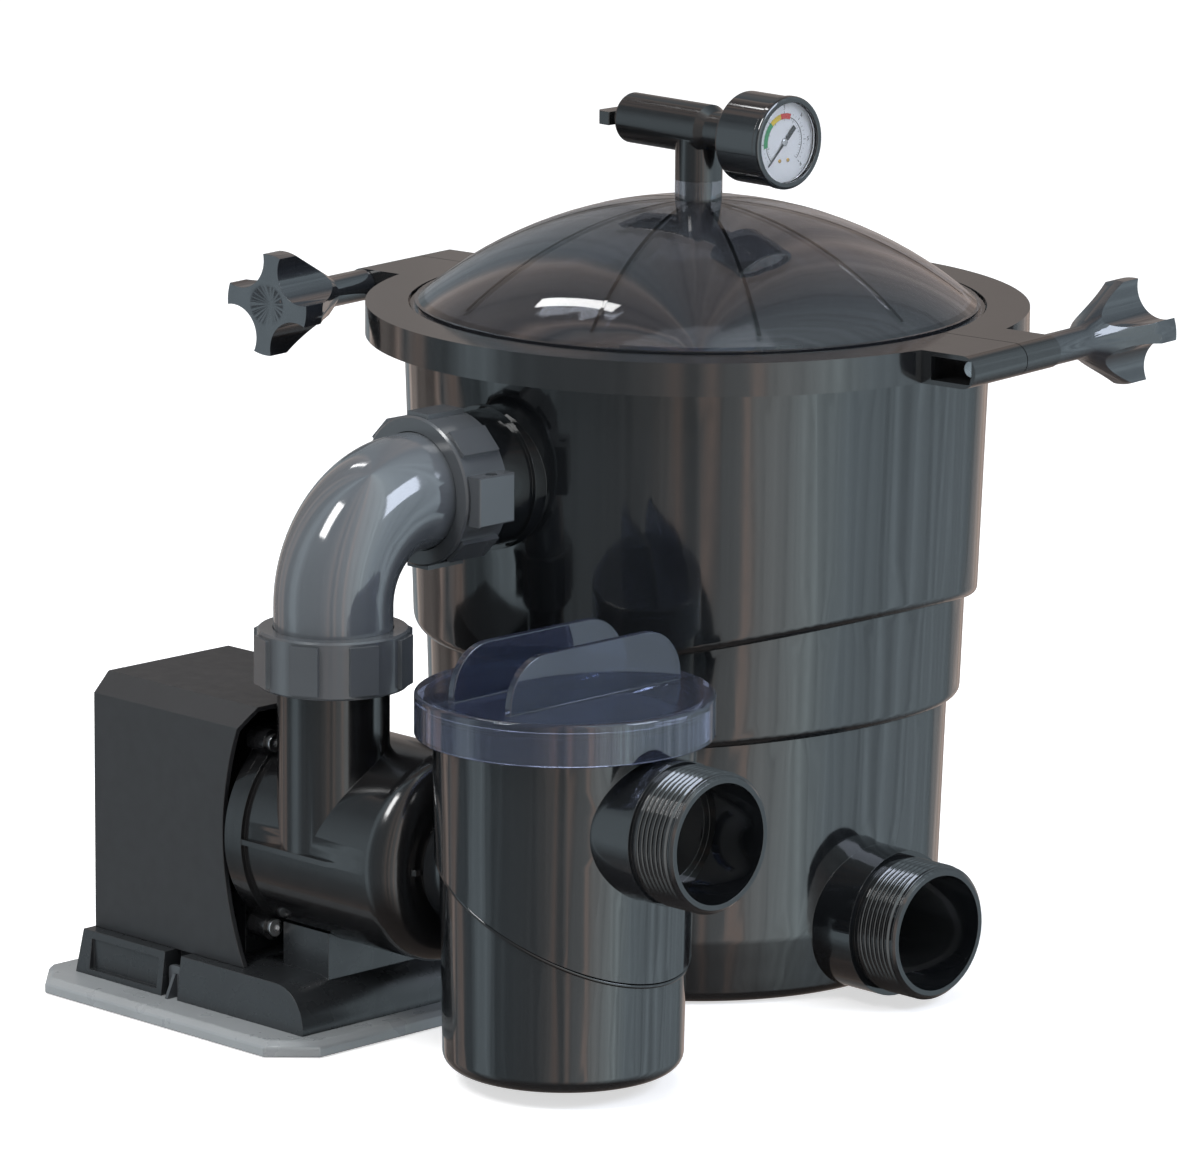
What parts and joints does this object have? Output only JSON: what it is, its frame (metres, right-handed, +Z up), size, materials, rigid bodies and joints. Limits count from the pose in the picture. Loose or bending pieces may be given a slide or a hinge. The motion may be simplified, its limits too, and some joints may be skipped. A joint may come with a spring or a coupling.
{
  "type": "pool filtration unit",
  "caption": "Pool filtration unit: a clamped cartridge tank with a clear lid and gauge, piped to a pump with a strainer pot on a base plate.",
  "frame": {"origin": "centre of the round face that the tank stands on", "axes": "+Z up, +X towards the two open ports, -Y towards the pump"},
  "size_m": [0.4435, 0.4792, 0.4532],
  "materials": {
    "tank_black": "gloss",
    "clamp_black": "satin",
    "smoked_clear": "gloss",
    "pvc_grey": "gloss",
    "nut_grey": "satin",
    "pump_black": "satin",
    "cover_grey": "matte",
    "base_grey": "satin",
    "brass": "satin",
    "steel": "brushed",
    "seal_rubber": "matte",
    "gauge_black": "gloss",
    "dial_white": "satin",
    "gauge_glass": "gloss",
    "media_white": "matte",
    "cap_blue": "satin",
    "core_white": "satin",
    "copper": "satin",
    "seal_face": "satin",
    "motor_paint": "satin",
    "stack_steel": "rough",
    "needle_black": "satin"
  },
  "bodies": {
    "unit": {"tank_shell": "tank_black", "tank_lid_o_ring": "seal_rubber", "tank_lid": "smoked_clear", "clamp_front_half": "clamp_black", "clamp_rear_half": "clamp_black", "clamp_bolt_right": "steel", "clamp_bolt_left": "steel", "cartridge_bottom_cap": "cap_blue", "cartridge_top_cap": "cap_blue", "cartridge_media": "media_white", "cartridge_core": "core_white", "outlet_manifold": "core_white", "gauge_tee": "pump_black", "gauge_case": "gauge_black", "gauge_dial": "dial_white", "gauge_movement": "brass", "gauge_bezel": "gauge_black", "gauge_lens": "gauge_glass", "union_elbow": "pvc_grey", "upper_union_o_ring": "seal_rubber", "lower_union_o_ring": "seal_rubber", "pump_volute": "pump_black", "pump_seal_plate": "pump_black", "shaft_seal_seat": "seal_face", "pump_diffuser": "pump_black", "motor_housing": "motor_paint", "motor_stator": "stack_steel", "motor_winding_rear": "copper", "motor_winding_front": "copper", "motor_bearing_rear": "steel", "motor_bearing_front": "steel", "motor_cover": "cover_grey", "strainer_pot": "tank_black", "strainer_basket": "core_white", "base_plate": "base_grey", "pump_foot": "pump_black", "base_clip": "nut_grey", "pump_flange_bolts": "steel"},
    "knob_right": {"clamp_knob_right": "clamp_black"},
    "knob_left": {"clamp_knob_left": "clamp_black"},
    "bleed_plug": {"air_bleed_plug": "clamp_black"},
    "needle": {"gauge_needle": "needle_black"},
    "nut_upper": {"upper_union_nut": "nut_grey"},
    "nut_lower": {"lower_union_nut": "nut_grey"},
    "pump_rotor": {"motor_shaft": "steel", "rotor_core": "stack_steel", "cooling_fan": "pump_black", "impeller": "pump_black", "shaft_seal_head": "seal_face"},
    "lid_carrier": {"pot_lid_o_ring": "seal_rubber"},
    "lid": {"pot_lid": "smoked_clear"}
  },
  "joints": [
    {"name": "clamp_knob_right_turn", "type": "hinge", "parent": "unit", "child": "knob_right", "pos_m": [0.18858, 0.02315, 0.3316], "axis": [-0.1219, 0.9925, 0], "continuous": true},
    {"name": "clamp_knob_left_turn", "type": "hinge", "parent": "unit", "child": "knob_left", "pos_m": [-0.18858, -0.02315, 0.3316], "axis": [0.1219, -0.9925, 0], "continuous": true},
    {"name": "air_bleed_turn", "type": "hinge", "parent": "unit", "child": "bleed_plug", "pos_m": [-0.049, 0, 0.4294], "axis": [-1, 0, 0], "continuous": true},
    {"name": "gauge_needle_turn", "type": "hinge", "parent": "unit", "child": "needle", "pos_m": [0.06, 0, 0.4294], "axis": [-1, 0, 0], "range_deg": [0, 270]},
    {"name": "upper_union_nut_turn", "type": "hinge", "parent": "unit", "child": "nut_upper", "pos_m": [0, -0.185, 0.269], "axis": [0, -1, 0], "continuous": true},
    {"name": "lower_union_nut_turn", "type": "hinge", "parent": "unit", "child": "nut_lower", "pos_m": [0, -0.255, 0.194], "axis": [0, 0, 1], "continuous": true},
    {"name": "pump_rotor_turn", "type": "hinge", "parent": "unit", "child": "pump_rotor", "pos_m": [-0.08, -0.228, 0.097], "axis": [1, 0, 0], "continuous": true},
    {"name": "pot_lid_lift", "type": "slide", "parent": "unit", "child": "lid_carrier", "axis": [0, 0, 1], "range_m": [0, 0.12]},
    {"name": "pot_lid_turn", "type": "hinge", "parent": "lid_carrier", "child": "lid", "pos_m": [0.1355, -0.228, 0.19], "axis": [0, 0, 1], "continuous": true}
  ]
}
